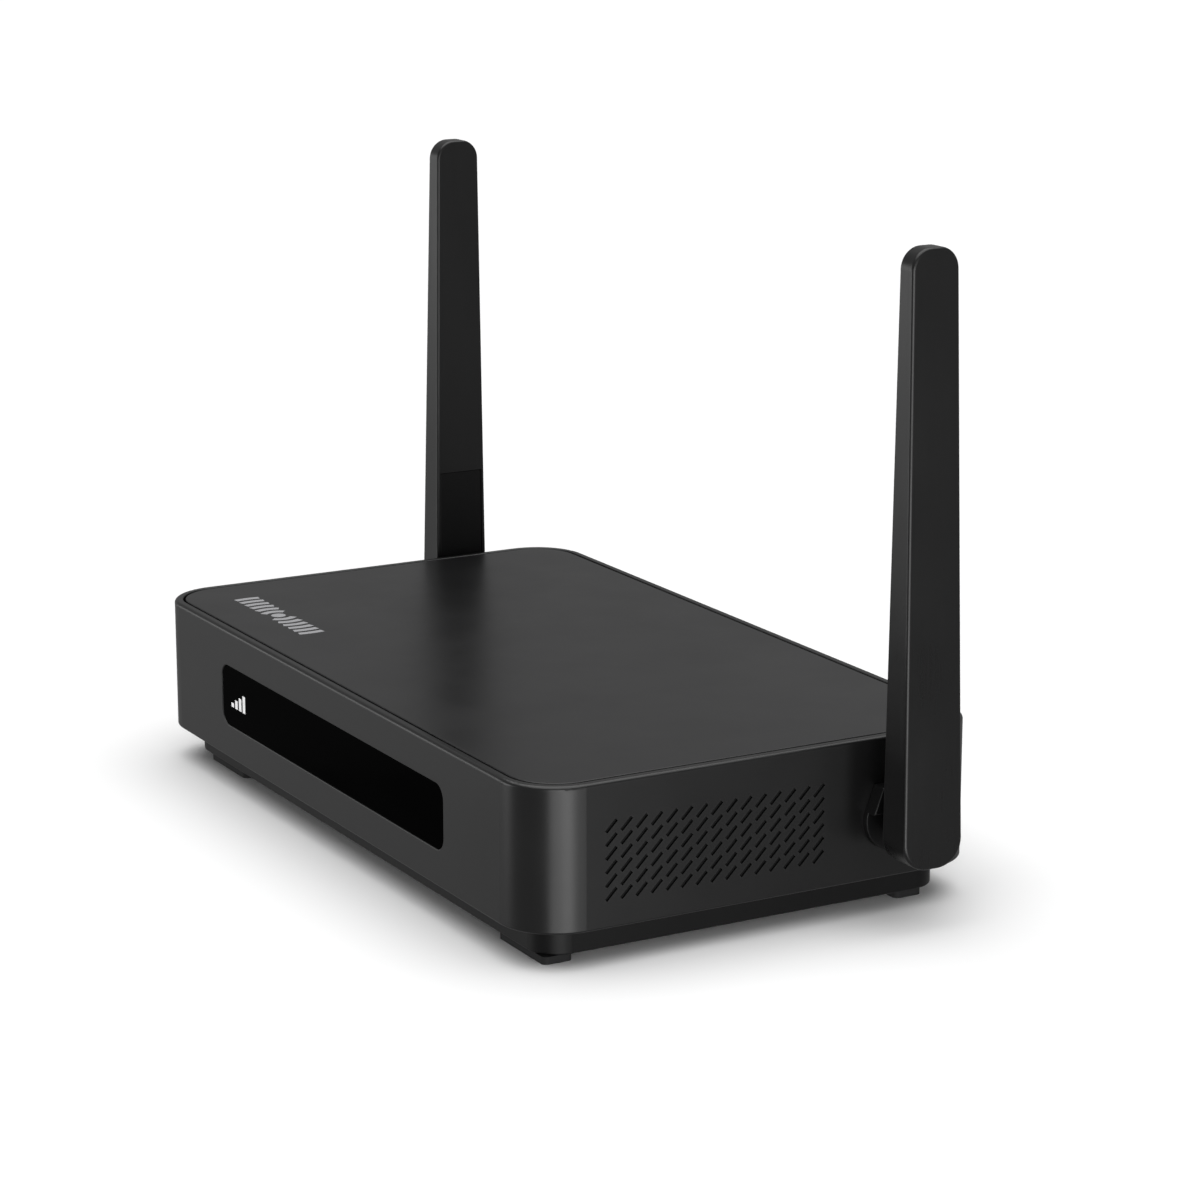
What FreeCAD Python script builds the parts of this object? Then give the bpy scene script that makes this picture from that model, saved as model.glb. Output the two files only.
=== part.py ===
import FreeCAD, Part
import math
import os
import re

import Sketcher
from FreeCAD import Placement, Rotation, Vector

# Wireless network node: a flat box with a swivelling, tilting paddle antenna on each short side.
# The frame: X to the right seen from the front, Y to the back, Z up, millimetres, with the origin
# on the surface the node stands on, under the middle of the box.

DIMENSIONS = {
    # upper housing
    "box_width": 150.0,
    "box_depth": 86.8,
    "box_top": 30.9,
    "shell_base": 6.4,
    "corner_radius": 10.2,
    "wall": 2.0,
    "top_round": 0.7,
    "lower_round": 0.4,
    "small_round": 0.2,
    "deck_thickness": 1.6,
    "overlap": 0.1,
    # lid set flush into the housing
    "lid_thickness": 1.5,
    "lid_rim": 1.6,
    "lid_gap": 0.45,
    # base tray: a flange inside the housing's mouth and a plinth under it
    "flange_base": 6.8,
    "flange_thickness": 1.6,
    "flange_gap": 0.15,
    "tray_base": 1.3,
    "tray_inset": 4.9,
    "tray_wall": 1.8,
    "plinth_round": 0.3,
    "floor_vent_width": 2.0,
    "floor_vent_length": 30.0,
    "floor_vent_pitch": 5.0,
    "floor_vent_mid": -2.0,
    # foot pads
    "foot_length": 15.6,
    "foot_width": 5.4,
    "foot_round": 1.0,
    "foot_right": 61.7,
    "foot_left": -56.0,
    "foot_front": -35.3,
    "foot_back": 32.1,
    # front window
    "window_width": 90.0,
    "window_height": 11.2,
    "window_mid": 18.45,
    "window_round": 2.5,
    "window_seat": 1.0,
    "window_plate": 0.9,
    "window_gap": 0.06,
    "window_ledge": 2.0,
    # side vents: a grid of slots at 45 degrees
    "vent_first": -28.7,
    "vent_pitch": 2.78,
    "vent_low": 12.1,
    "vent_rise": 2.27,
    "vent_length": 2.7,
    "vent_width": 0.62,
    # case screws, in bosses of the housing and wells of the tray
    "boss_radius": 3.2,
    "boss_base": 8.6,
    "thread_radius": 1.5,
    "shank_radius": 1.6,
    "screw_head_radius": 2.8,
    "screw_head": 1.6,
    "screw_length": 12.0,
    "screw_sink": 0.6,
    "screw_clearance": 0.2,
    "drive_radius": 0.9,
    "drive_depth": 1.0,
    "well_radius": 4.2,
    "boss_x_front": 64.0,
    "boss_x_back": 38.0,
    "boss_y_front": -28.0,
    "boss_y_back": 34.0,
    # main board and what stands on it
    "board_width": 118.0,
    "board_depth": 74.0,
    "board_mid": 3.4,
    "board_base": 9.5,
    "board_thickness": 1.6,
    "post_radius": 2.5,
    "post_x": 52.0,
    "post_y_front": -26.0,
    "post_y_back": 22.0,
    "board_hole_radius": 1.1,
    "board_thread_radius": 1.0,
    "board_pilot_depth": 4.0,
    "board_screw_reach": 3.5,
    "board_screw_head_radius": 2.0,
    "board_screw_head": 1.2,
    "boss_clearance": 0.4,
    "chip_x": -6.0,
    "chip_y": 2.0,
    "chip_side": 17.0,
    "chip_height": 1.4,
    "pad_side": 16.0,
    "pad_height": 0.8,
    "sink_side": 28.0,
    "sink_base": 1.8,
    "fin_width": 1.2,
    "fin_height": 7.0,
    "fin_pitch": 3.3,
    "shield_x": 34.0,
    "shield_length": 26.0,
    "shield_width": 20.0,
    "shield_height": 3.2,
    "shield_sheet": 0.4,
    "radio_x": -36.0,
    "radio_y": -12.0,
    "radio_length": 30.0,
    "radio_width": 14.0,
    "radio_thickness": 1.0,
    "radio_socket": 1.2,
    "radio_socket_spread": 9.0,
    # board behind the window
    "panel_gap": 0.6,
    "panel_thickness": 1.2,
    "panel_length": 80.0,
    "panel_height": 9.0,
    "lamp_side": 1.6,
    "lamp_thickness": 0.7,
    "receiver_x": 30.0,
    "receiver_width": 5.0,
    "receiver_height": 6.0,
    # rear connectors: places along the back wall, heights above the board, and sizes
    "back_step": 0.2,
    "power_x": -52.0,
    "power_height": 6.5,
    "power_case_width": 9.0,
    "power_case_depth": 12.0,
    "power_case_height": 11.0,
    "power_opening": 3.7,
    "power_nose": 3.5,
    "power_bore": 2.85,
    "power_bore_depth": 10.0,
    "power_contact": 0.95,
    "power_contact_length": 9.5,
    "picture_x": -20.0,
    "picture_height": 3.2,
    "picture_width": 15.0,
    "picture_depth": 11.0,
    "picture_tall": 5.6,
    "picture_sheet": 0.5,
    "picture_gap": 0.2,
    "tongue_span": 10.6,
    "tongue_depth": 9.0,
    "tongue_thick": 1.2,
    "network_x": 6.0,
    "network_width": 16.0,
    "network_depth": 15.0,
    "network_tall": 13.5,
    "network_gap": 0.15,
    "plug_room_width": 11.9,
    "plug_room_depth": 11.5,
    "plug_room_height": 7.2,
    "plug_room_base": 4.4,
    "latch_width": 6.2,
    "latch_base": 2.0,
    "control_x": 25.0,
    "control_height": 3.4,
    "control_case_width": 7.0,
    "control_case_depth": 10.0,
    "control_case_height": 6.6,
    "control_opening": 3.1,
    "control_nose": 2.9,
    "control_bore": 1.8,
    "control_bore_depth": 10.0,
    "button_x": 50.0,
    "button_height": 4.0,
    "button_opening": 2.0,
    "button_radius": 1.9,
    "button_length": 5.2,
    "button_flange": 2.8,
    "button_flange_thickness": 0.8,
    "button_flange_gap": 0.1,
    "switch_travel": 0.5,
    "switch_width": 6.0,
    "switch_depth": 3.6,
    "switch_height": 6.4,
    # antenna: the swivel turns about X, the paddle tilts about Y
    "hinge_y": 24.6,
    "hinge_z": 16.9,
    "pin_x": 83.0,
    "pin_radius": 0.8,
    "pin_clearance": 0.05,
    "barrel_radius": 4.0,
    "barrel_clearance": 0.05,
    "barrel_length": 7.1,
    "swivel_gap": 0.1,
    "disc_radius": 5.6,
    "disc_thickness": 0.9,
    "lug_base": 1.55,
    "lug_height": 4.5,
    "lug_foot_width": 10.7,
    "lug_head_width": 7.2,
    "lug_reach": 2.7,
    "tongue_width": 4.0,
    "tongue_height": 3.8,
    "groove_radius": 3.3,
    "groove_width": 0.9,
    "groove_start": 2.1,
    "clip_radius": 5.4,
    "clip_thickness": 0.8,
    "clip_mouth": 4.6,
    # paddle: a tapered strip with rounded corners whose outer face leans in towards the top
    "paddle_inner": 80.5,
    "paddle_outer": 87.15,
    "paddle_base": 11.1,
    "paddle_height": 101.6,
    "paddle_foot_width": 11.44,
    "paddle_head_width": 8.8,
    "paddle_foot_corner": 4.6,
    "paddle_head_corner": 3.6,
    "paddle_blank": 9.0,
    "paddle_lean": 1.75,
    "lean_foot": 16.5,
    "paddle_skin": 1.3,
    "paddle_wall": 1.2,
    "paddle_edge": 0.5,
    "cavity_low": 23.0,
    "cavity_length": 86.0,
    "cavity_foot_width": 8.2,
    "cavity_head_width": 6.2,
    "plate_low": 20.5,
    "plate_top": 46.5,
    "plate_width": 9.2,
    "plate_thickness": 1.1,
    "plate_gap": 0.05,
    "plate_recess": 0.1,
    "fork_width": 4.4,
    "fork_top": 19.2,
    "fork_depth": 4.7,
    "lead_way_radius": 0.8,
    "lead_way_inset": 2.4,
    "pin_front": 4.4,
    "pin_back": 5.2,
    "bore_radius": 1.2,
    "bore_floor": 0.6,
    "element_base": 34.0,
    "element_inset": 2.3,
    "element_width": 5.0,
    "element_length": 68.0,
    "element_thickness": 0.8,
    # antenna leads
    "lead_radius": 0.6,
    "lead_bend": 3.0,
    "lead_plug_radius": 1.5,
    "lead_plug_height": 1.5,
}

doc = FreeCAD.newDocument("network_node")
sub_parts = []


def fill_sheet():
    """Write every driving dimension to the sheet, one row each, with its alias."""
    sheet = doc.addObject("Spreadsheet::Sheet", "Dims")
    for row, (alias, number) in enumerate(DIMENSIONS.items(), start=1):
        sheet.set(f"A{row}", alias)
        sheet.set(f"B{row}", str(number))
        sheet.setAlias(f"B{row}", alias)
    doc.recompute()
    return sheet


sheet = fill_sheet()


def bind(item, prop, formula):
    """Drive a property by a formula in the sheet's aliases."""
    def full_name(word):
        return "Dims." + word[0] if word[0] in DIMENSIONS else word[0]
    item.setExpression(prop, re.sub(r"[a-z_]+", full_name, str(formula)))


# ---------------------------------------------------------------- sketches and features

def new_body(label):
    body = doc.addObject("PartDesign::Body", label)
    sub_parts.append(body)
    return body


def new_sketch(body, tag, plane, at=(0, 0, 0)):
    """A sketch parallel to one of the body's origin planes, moved by `at` in the plane's own axes."""
    sketch = body.newObject("Sketcher::SketchObject", f"{body.Name}_{tag}_sketch")
    support = next(item for item in body.Origin.OriginFeatures if item.Role == plane)
    sketch.AttachmentSupport = [(support, "")]
    sketch.MapMode = "FlatFace"
    for axis, formula in zip("xyz", at):
        bind(sketch, f"AttachmentOffset.Base.{axis}", formula)
    return sketch


def add_loop(sketch, corners):
    """Straight lines from corner to corner, joined end to end. Returns the first line's number."""
    first = sketch.GeometryCount
    count = len(corners)
    for index, corner in enumerate(corners):
        following = corners[(index + 1) % count]
        sketch.addGeometry(Part.LineSegment(Vector(*corner, 0), Vector(*following, 0)))
    for index in range(count):
        following = (index + 1) % count
        sketch.addConstraint(Sketcher.Constraint("Coincident", first + index, 2, first + following, 1))
    return first


def measure(sketch, kind, *where, start, formula):
    """Add a constraint that carries a size, first as it is drawn, then driven by a formula."""
    number = sketch.addConstraint(Sketcher.Constraint(kind, *where, start))
    bind(sketch, f"Constraints[{number}]", formula)
    doc.recompute()


def rectangle(sketch, width, height):
    """A rectangle centred on the sketch's origin."""
    drawn_width, drawn_height = 4.0, 2.0
    x, y = drawn_width / 2, drawn_height / 2
    first = add_loop(sketch, [(-x, -y), (x, -y), (x, y), (-x, y)])
    for step in (0, 2):
        sketch.addConstraint(Sketcher.Constraint("Horizontal", first + step))
        sketch.addConstraint(Sketcher.Constraint("Vertical", first + step + 1))
    sketch.addConstraint(Sketcher.Constraint("Symmetric", first, 1, first + 2, 1, -1, 1))
    measure(sketch, "DistanceX", first, 1, first, 2, start=drawn_width, formula=width)
    measure(sketch, "DistanceY", first + 1, 1, first + 1, 2, start=drawn_height, formula=height)


def rounded_rectangle(sketch, width, height, radius):
    """A rectangle centred on the sketch's origin, with four equal corner arcs."""
    half_width, half_height, corner = 45.0, 20.0, 4.0
    first = sketch.GeometryCount
    for quarter in range(4):
        turn = Rotation(Vector(0, 0, 1), 90 * quarter)
        along, across = (half_width, half_height) if quarter % 2 == 0 else (half_height, half_width)
        start = turn.multVec(Vector(corner - along, -across, 0))
        end = turn.multVec(Vector(along - corner, -across, 0))
        centre = turn.multVec(Vector(along - corner, corner - across, 0))
        sketch.addGeometry(Part.LineSegment(start, end))
        round_corner = Part.Circle(centre, Vector(0, 0, 1), corner)
        begin = math.radians(90 * quarter - 90)
        sketch.addGeometry(Part.ArcOfCircle(round_corner, begin, begin + math.pi / 2))
    bottom, right, top, left = (first + 2 * quarter for quarter in range(4))
    for step in range(8):
        following = first + (step + 1) % 8
        sketch.addConstraint(Sketcher.Constraint("Tangent", first + step, 2, following, 1))
    for level, upright in ((bottom, right), (top, left)):
        sketch.addConstraint(Sketcher.Constraint("Horizontal", level))
        sketch.addConstraint(Sketcher.Constraint("Vertical", upright))
    for arc in (right + 1, top + 1, left + 1):
        sketch.addConstraint(Sketcher.Constraint("Equal", bottom + 1, arc))
    sketch.addConstraint(Sketcher.Constraint("Symmetric", bottom + 1, 3, top + 1, 3, -1, 1))
    measure(sketch, "Radius", bottom + 1, start=corner, formula=radius)
    measure(sketch, "DistanceX", left, 1, right, 1, start=2 * half_width, formula=width)
    measure(sketch, "DistanceY", bottom, 1, top, 1, start=2 * half_height, formula=height)


def circle(sketch, radius):
    """A circle round the sketch's origin."""
    drawn_radius = 1.0
    number = sketch.addGeometry(Part.Circle(Vector(0, 0, 0), Vector(0, 0, 1), drawn_radius))
    sketch.addConstraint(Sketcher.Constraint("Coincident", number, 3, -1, 1))
    measure(sketch, "Radius", number, start=drawn_radius, formula=radius)


def trapezoid(sketch, foot_width, head_width, height):
    """A trapezoid that stands on the sketch's horizontal axis, symmetric about the vertical one."""
    drawn_foot, drawn_head, drawn_height = 10.0, 8.0, 4.0
    corners = [(-drawn_foot / 2, 0), (drawn_foot / 2, 0),
               (drawn_head / 2, drawn_height), (-drawn_head / 2, drawn_height)]
    first = add_loop(sketch, corners)
    for line in (first, first + 2):
        sketch.addConstraint(Sketcher.Constraint("Symmetric", line, 1, line, 2, -2))
    sketch.addConstraint(Sketcher.Constraint("PointOnObject", first, 1, -1))
    measure(sketch, "DistanceX", first, 1, first, 2, start=drawn_foot, formula=foot_width)
    measure(sketch, "DistanceX", first + 2, 2, first + 2, 1, start=drawn_head, formula=head_width)
    measure(sketch, "DistanceY", first + 1, 1, first + 1, 2, start=drawn_height, formula=height)


def extrude(body, kind, tag, sketch, length, reverse=False, both_ways=False):
    """A Pad or a Pocket of a sketch. A Pocket has to take something away."""
    doc.recompute()
    before = body.Shape.Volume if body.Tip else 0.0
    feature = body.newObject(f"PartDesign::{kind}", f"{body.Name}_{tag}")
    feature.Profile = sketch
    bind(feature, "Length", length)
    feature.Reversed = reverse
    feature.Midplane = both_ways
    doc.recompute()
    change = feature.Shape.Volume - before
    if (change > 0) != (kind == "Pad"):
        raise RuntimeError(f"{feature.Name} changed the volume by {change:.3f}")
    return feature


def pad(body, tag, sketch, length, **options):
    return extrude(body, "Pad", tag, sketch, length, **options)


def pocket(body, tag, sketch, length, **options):
    return extrude(body, "Pocket", tag, sketch, length, **options)


def repeat(body, tag, feature, steps):
    """Repeat a feature in one or two directions: (origin axis, number, pitch, backwards)."""
    patterns = []
    pattern = body.newObject("PartDesign::MultiTransform", f"{body.Name}_{tag}_grid")
    pattern.Originals = [feature]
    for order, (axis, number, pitch, backwards) in enumerate(steps):
        row = body.newObject("PartDesign::LinearPattern", f"{body.Name}_{tag}_row_{order}")
        support = next(item for item in body.Origin.OriginFeatures if item.Role == axis)
        row.Direction = (support, [""])
        row.Reversed = backwards
        row.Mode = "Spacing"
        row.Occurrences = number
        bind(row, "Offset", pitch)
        patterns.append(row)
    pattern.Transformations = patterns
    body.Tip = pattern
    doc.recompute()
    return pattern


def round_edges(body, tag, wanted, radius):
    """Fillet the edges of the body's present tip for which wanted(edge) holds."""
    base = body.Tip
    names = [f"Edge{n}" for n, edge in enumerate(base.Shape.Edges, start=1) if wanted(edge)]
    feature = body.newObject("PartDesign::Fillet", f"{body.Name}_{tag}")
    feature.Base = (base, names)
    bind(feature, "Radius", radius)
    doc.recompute()
    return feature


def runs_along(edge, axis):
    """True for a straight edge along one axis, 0 to 2."""
    if edge.Curve.TypeId != "Part::GeomLine":
        return False
    direction = edge.Curve.Direction
    return abs(abs(direction[axis]) - 1) < 1e-6


def reach_of(edge, axis):
    box = edge.BoundBox
    low = (box.XMin, box.YMin, box.ZMin)[axis]
    high = (box.XMax, box.YMax, box.ZMax)[axis]
    return low, high


def flat_at(edge, axis, place):
    """True for an edge that lies wholly at one place along an axis."""
    low, high = reach_of(edge, axis)
    return abs(low - place) < 1e-3 and abs(high - place) < 1e-3


def within(edge, axis, limit):
    """True for an edge that stays between -limit and limit along an axis."""
    low, high = reach_of(edge, axis)
    return low > -limit and high < limit


def rounded_plate(label, width, depth, base, height, radius):
    """A body that starts as a flat plate with rounded upright corners."""
    body = new_body(label)
    outline = new_sketch(body, "outline", "XY_Plane", (0, 0, base))
    rounded_rectangle(outline, width, depth, radius)
    pad(body, "plate", outline, height)
    return body


# ---------------------------------------------------------------- plain solids

def block(label, size, middle):
    """A Part box of bound size, centred in X and Y on `middle` and standing on its height."""
    box = doc.addObject("Part::Box", label)
    for prop, formula in zip(("Length", "Width", "Height"), size):
        bind(box, prop, formula)
    bind(box, "Placement.Base.x", f"({middle[0]}) - ({size[0]}) / 2")
    bind(box, "Placement.Base.y", f"({middle[1]}) - ({size[1]}) / 2")
    bind(box, "Placement.Base.z", middle[2])
    return box


def rod(label, radius, length, start, axis):
    """A Part cylinder from `start` along an axis."""
    cylinder = doc.addObject("Part::Cylinder", label)
    bind(cylinder, "Radius", radius)
    bind(cylinder, "Height", length)
    cylinder.Placement = Placement(Vector(), Rotation(Vector(0, 0, 1), axis))
    for letter, formula in zip("xyz", start):
        bind(cylinder, f"Placement.Base.{letter}", formula)
    return cylinder


def joined(label, pieces):
    """One node of several solids, or their union where they touch."""
    fuse = doc.addObject("Part::MultiFuse", label)
    fuse.Shapes = pieces
    return fuse


def without(label, base, tool):
    cut = doc.addObject("Part::Cut", label)
    cut.Base = base
    cut.Tool = tool
    return cut


def keep(item):
    sub_parts.append(item)
    return item


# ---------------------------------------------------------------- the case

SIDE_VENT_COLUMNS, SIDE_VENT_ROWS, SIDE_VENT_SLOPE = 15, 6, 45
FLOOR_VENTS = 13
FINS = 9
LAMP_PLACES = (-34, -30, -26)
BOSSES = [
    ("front_left", "-boss_x_front", "boss_y_front"),
    ("front_right", "boss_x_front", "boss_y_front"),
    ("back_left", "-boss_x_back", "boss_y_back"),
    ("back_right", "boss_x_back", "boss_y_back"),
]
SIDES = [("left", -1), ("right", 1)]
BOARD_TOP = "board_base + board_thickness"
ALONG_Y = Vector(0, 1, 0)
UPWARDS = Vector(0, 0, 1)
BACK_FACE = "box_depth / 2 - back_step"
INNER_BACK = "box_depth / 2 - wall - back_step"


def add_side_vents(body, side, sign):
    """Columns and rows of slanted slots through one side wall."""
    wall_plane = f"{sign} * (box_width / 2 + overlap)"
    slot = new_sketch(body, f"{side}_vent", "YZ_Plane", ("vent_first", "vent_low", wall_plane))
    placement = slot.AttachmentOffset
    placement.Rotation = Rotation(Vector(0, 0, 1), SIDE_VENT_SLOPE)
    slot.AttachmentOffset = placement
    rectangle(slot, "vent_length", "vent_width")
    first = pocket(body, f"{side}_vent", slot, "wall + 2 * overlap", reverse=sign < 0)
    steps = [("Y_Axis", SIDE_VENT_COLUMNS, "vent_pitch", False),
             ("Z_Axis", SIDE_VENT_ROWS, "vent_rise", False)]
    repeat(body, f"{side}_vent", first, steps)


def make_upper_housing():
    body = rounded_plate("upper_housing", "box_width", "box_depth", "shell_base",
                         "box_top - shell_base", "corner_radius")
    top = DIMENSIONS["box_top"]
    base = DIMENSIONS["shell_base"]
    round_edges(body, "top_edge", lambda edge: flat_at(edge, 2, top), "top_round")
    round_edges(body, "lower_edge", lambda edge: flat_at(edge, 2, base), "lower_round")

    cavity = new_sketch(body, "cavity", "XY_Plane", (0, 0, "shell_base"))
    rounded_rectangle(cavity, "box_width - 2 * wall", "box_depth - 2 * wall", "corner_radius - wall")
    pocket(body, "cavity", cavity, "box_top - lid_thickness - deck_thickness - shell_base", reverse=True)

    recess = new_sketch(body, "recess", "XY_Plane", (0, 0, "box_top"))
    rounded_rectangle(recess, "box_width - 2 * lid_rim", "box_depth - 2 * lid_rim",
                      "corner_radius - lid_rim")
    pocket(body, "recess", recess, "lid_thickness")
    rim = DIMENSIONS["box_depth"] / 2 - DIMENSIONS["lid_rim"] / 2
    round_edges(body, "recess_mouth", lambda edge: flat_at(edge, 2, top) and within(edge, 1, rim),
                "small_round")

    for place, x, y in BOSSES:
        post = new_sketch(body, f"{place}_boss", "XY_Plane", (x, y, "boss_base"))
        circle(post, "boss_radius")
        pad(body, f"{place}_boss", post, "box_top - lid_thickness - deck_thickness - boss_base + overlap")
        pilot = new_sketch(body, f"{place}_pilot", "XY_Plane", (x, y, "boss_base"))
        circle(pilot, "thread_radius")
        pocket(body, f"{place}_pilot", pilot, "screw_length", reverse=True)

    seat = new_sketch(body, "window_seat", "XZ_Plane", (0, "window_mid", "box_depth / 2"))
    rounded_rectangle(seat, "window_width + 2 * window_gap", "window_height + 2 * window_gap",
                      "window_round + window_gap")
    pocket(body, "window_seat", seat, "window_seat")
    front = -DIMENSIONS["box_depth"] / 2
    window_reach = DIMENSIONS["window_width"] / 2 + DIMENSIONS["window_seat"]
    round_edges(body, "seat_mouth", lambda edge: flat_at(edge, 1, front) and within(edge, 0, window_reach),
                "small_round")
    opening = new_sketch(body, "window_opening", "XZ_Plane", (0, "window_mid", "box_depth / 2"))
    rectangle(opening, "window_width - 2 * window_ledge", "window_height - 2 * window_ledge")
    pocket(body, "window_opening", opening, "wall + overlap")

    for side, sign in SIDES:
        hole = new_sketch(body, f"{side}_hinge_hole", "YZ_Plane",
                          ("hinge_y", "hinge_z", f"{sign} * box_width / 2"))
        circle(hole, "barrel_radius + barrel_clearance")
        pocket(body, f"{side}_hinge_hole", hole, "wall + overlap", reverse=sign < 0)
        add_side_vents(body, side, sign)
    for name, x, z, shape, sizes in REAR_OPENINGS:
        cut = new_sketch(body, name, "XZ_Plane", (x, z, "-box_depth / 2"))
        shape(cut, *sizes)
        pocket(body, name, cut, "wall + overlap", reverse=True)


def make_lid():
    margin = "2 * (lid_rim + lid_gap)"
    body = rounded_plate("top_cover_panel", f"box_width - {margin}", f"box_depth - {margin}",
                         "box_top - lid_thickness", "lid_thickness", "corner_radius - lid_rim - lid_gap")
    top = DIMENSIONS["box_top"]
    round_edges(body, "edge", lambda edge: flat_at(edge, 2, top), "small_round")


def make_bottom_tray():
    margin = "2 * (wall + flange_gap)"
    body = rounded_plate("bottom_tray", f"box_width - {margin}", f"box_depth - {margin}",
                         "flange_base", "flange_thickness", "corner_radius - wall - flange_gap")
    plinth = new_sketch(body, "plinth", "XY_Plane", (0, 0, "tray_base"))
    rounded_rectangle(plinth, "box_width - 2 * tray_inset", "box_depth - 2 * tray_inset",
                      "corner_radius - tray_inset")
    pad(body, "plinth", plinth, "flange_base - tray_base")
    floor = DIMENSIONS["tray_base"]
    round_edges(body, "plinth_edge", lambda edge: flat_at(edge, 2, floor), "plinth_round")

    top = "flange_base + flange_thickness"
    hollow = new_sketch(body, "hollow", "XY_Plane", (0, 0, top))
    rounded_rectangle(hollow, "box_width - 2 * (tray_inset + tray_wall)",
                      "box_depth - 2 * (tray_inset + tray_wall)", "corner_radius - tray_inset - tray_wall")
    pocket(body, "hollow", hollow, f"{top} - tray_base - tray_wall")

    for index, (x, y) in enumerate(board_posts()):
        post = new_sketch(body, f"post_{index}", "XY_Plane", (x, y, "tray_base + tray_wall - overlap"))
        circle(post, "post_radius")
        pad(body, f"post_{index}", post, "board_base - tray_base - tray_wall + overlap")
        pilot = new_sketch(body, f"pilot_{index}", "XY_Plane", (x, y, "board_base"))
        circle(pilot, "board_thread_radius")
        pocket(body, f"pilot_{index}", pilot, "board_pilot_depth")

    for place, x, y in BOSSES:
        well = new_sketch(body, f"{place}_well", "XY_Plane", (x, y, "tray_base + tray_wall - overlap"))
        circle(well, "well_radius")
        pad(body, f"{place}_well", well, f"{top} - tray_base - tray_wall + overlap")
        head = new_sketch(body, f"{place}_head", "XY_Plane", (x, y, "tray_base"))
        circle(head, "screw_head_radius + screw_clearance")
        pocket(body, f"{place}_head", head, "screw_head + screw_sink", reverse=True)
        shank = new_sketch(body, f"{place}_shank", "XY_Plane", (x, y, "tray_base"))
        circle(shank, "shank_radius")
        pocket(body, f"{place}_shank", shank, top, reverse=True)

    first_vent = f"-{(FLOOR_VENTS - 1) / 2} * floor_vent_pitch"
    vent = new_sketch(body, "vent", "XY_Plane", (first_vent, "floor_vent_mid", "tray_base"))
    rounded_rectangle(vent, "floor_vent_width", "floor_vent_length", "floor_vent_width * 0.45")
    first = pocket(body, "vent", vent, "tray_wall + overlap", reverse=True)
    repeat(body, "vent", first, [("X_Axis", FLOOR_VENTS, "floor_vent_pitch", False)])


def board_posts():
    return [(f"{sign} * post_x", y) for sign in (-1, 1) for y in ("post_y_front", "post_y_back")]


def make_feet():
    pads = []
    for side in ("left", "right"):
        for end in ("front", "back"):
            name = f"foot_{side}_{end}_blank"
            middle = (f"foot_{side}", f"foot_{end}", 0)
            blank = block(name, ("foot_length", "foot_width", "tray_base"), middle)
            rounded = doc.addObject("Part::Fillet", name + "_round")
            rounded.Base = blank
            doc.recompute()
            upright = [n for n, edge in enumerate(blank.Shape.Edges, start=1) if runs_along(edge, 2)]
            corner = DIMENSIONS["foot_round"]
            rounded.Edges = [(number, corner, corner) for number in upright]
            pads.append(rounded)
    keep(joined("foot_pads", pads))


def make_window():
    body = new_body("display_window")
    front = "box_depth / 2 - (window_seat - window_plate)"
    outline = new_sketch(body, "outline", "XZ_Plane", (0, "window_mid", front))
    rounded_rectangle(outline, "window_width", "window_height", "window_round")
    pad(body, "plate", outline, "window_plate", reverse=True)
    face = DIMENSIONS["window_seat"] - DIMENSIONS["window_plate"] - DIMENSIONS["box_depth"] / 2
    round_edges(body, "edge", lambda edge: flat_at(edge, 1, face), "small_round")


def make_case_screws():
    pieces = []
    for place, x, y in BOSSES:
        head = rod(f"screw_{place}_head", "screw_head_radius", "screw_head",
                   (x, y, "tray_base + screw_sink"), UPWARDS)
        shank = rod(f"screw_{place}_shank", "thread_radius", "screw_length",
                    (x, y, "tray_base + screw_sink + screw_head"), UPWARDS)
        drive = rod(f"screw_{place}_drive", "drive_radius", "drive_depth",
                    (x, y, "tray_base + screw_sink"), UPWARDS)
        whole = joined(f"screw_{place}_whole", [head, shank])
        pieces.append(without(f"screw_{place}", whole, drive))
    keep(joined("case_screws", pieces))


# ---------------------------------------------------------------- electronics

def make_main_board():
    body = new_body("main_board")
    outline = new_sketch(body, "outline", "XY_Plane", (0, "board_mid", "board_base"))
    rectangle(outline, "board_width", "board_depth")
    pad(body, "plate", outline, "board_thickness")
    for index, (x, y) in enumerate(board_posts()):
        hole = new_sketch(body, f"hole_{index}", "XY_Plane", (x, y, "board_base"))
        circle(hole, "board_hole_radius")
        pocket(body, f"hole_{index}", hole, "board_thickness", reverse=True)
    for place, x, y in BOSSES[2:]:
        hole = new_sketch(body, f"{place}_gap", "XY_Plane", (x, y, "board_base"))
        circle(hole, "boss_radius + boss_clearance")
        pocket(body, f"{place}_gap", hole, "board_thickness", reverse=True)


def make_board_screws():
    pieces = []
    for index, (x, y) in enumerate(board_posts()):
        shank = rod(f"board_screw_{index}_shank", "board_thread_radius",
                    "board_thickness + board_screw_reach",
                    (x, y, "board_base - board_screw_reach"), UPWARDS)
        head = rod(f"board_screw_{index}_head", "board_screw_head_radius", "board_screw_head",
                   (x, y, BOARD_TOP), UPWARDS)
        pieces.append(joined(f"board_screw_{index}", [shank, head]))
    keep(joined("board_screws", pieces))


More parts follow.
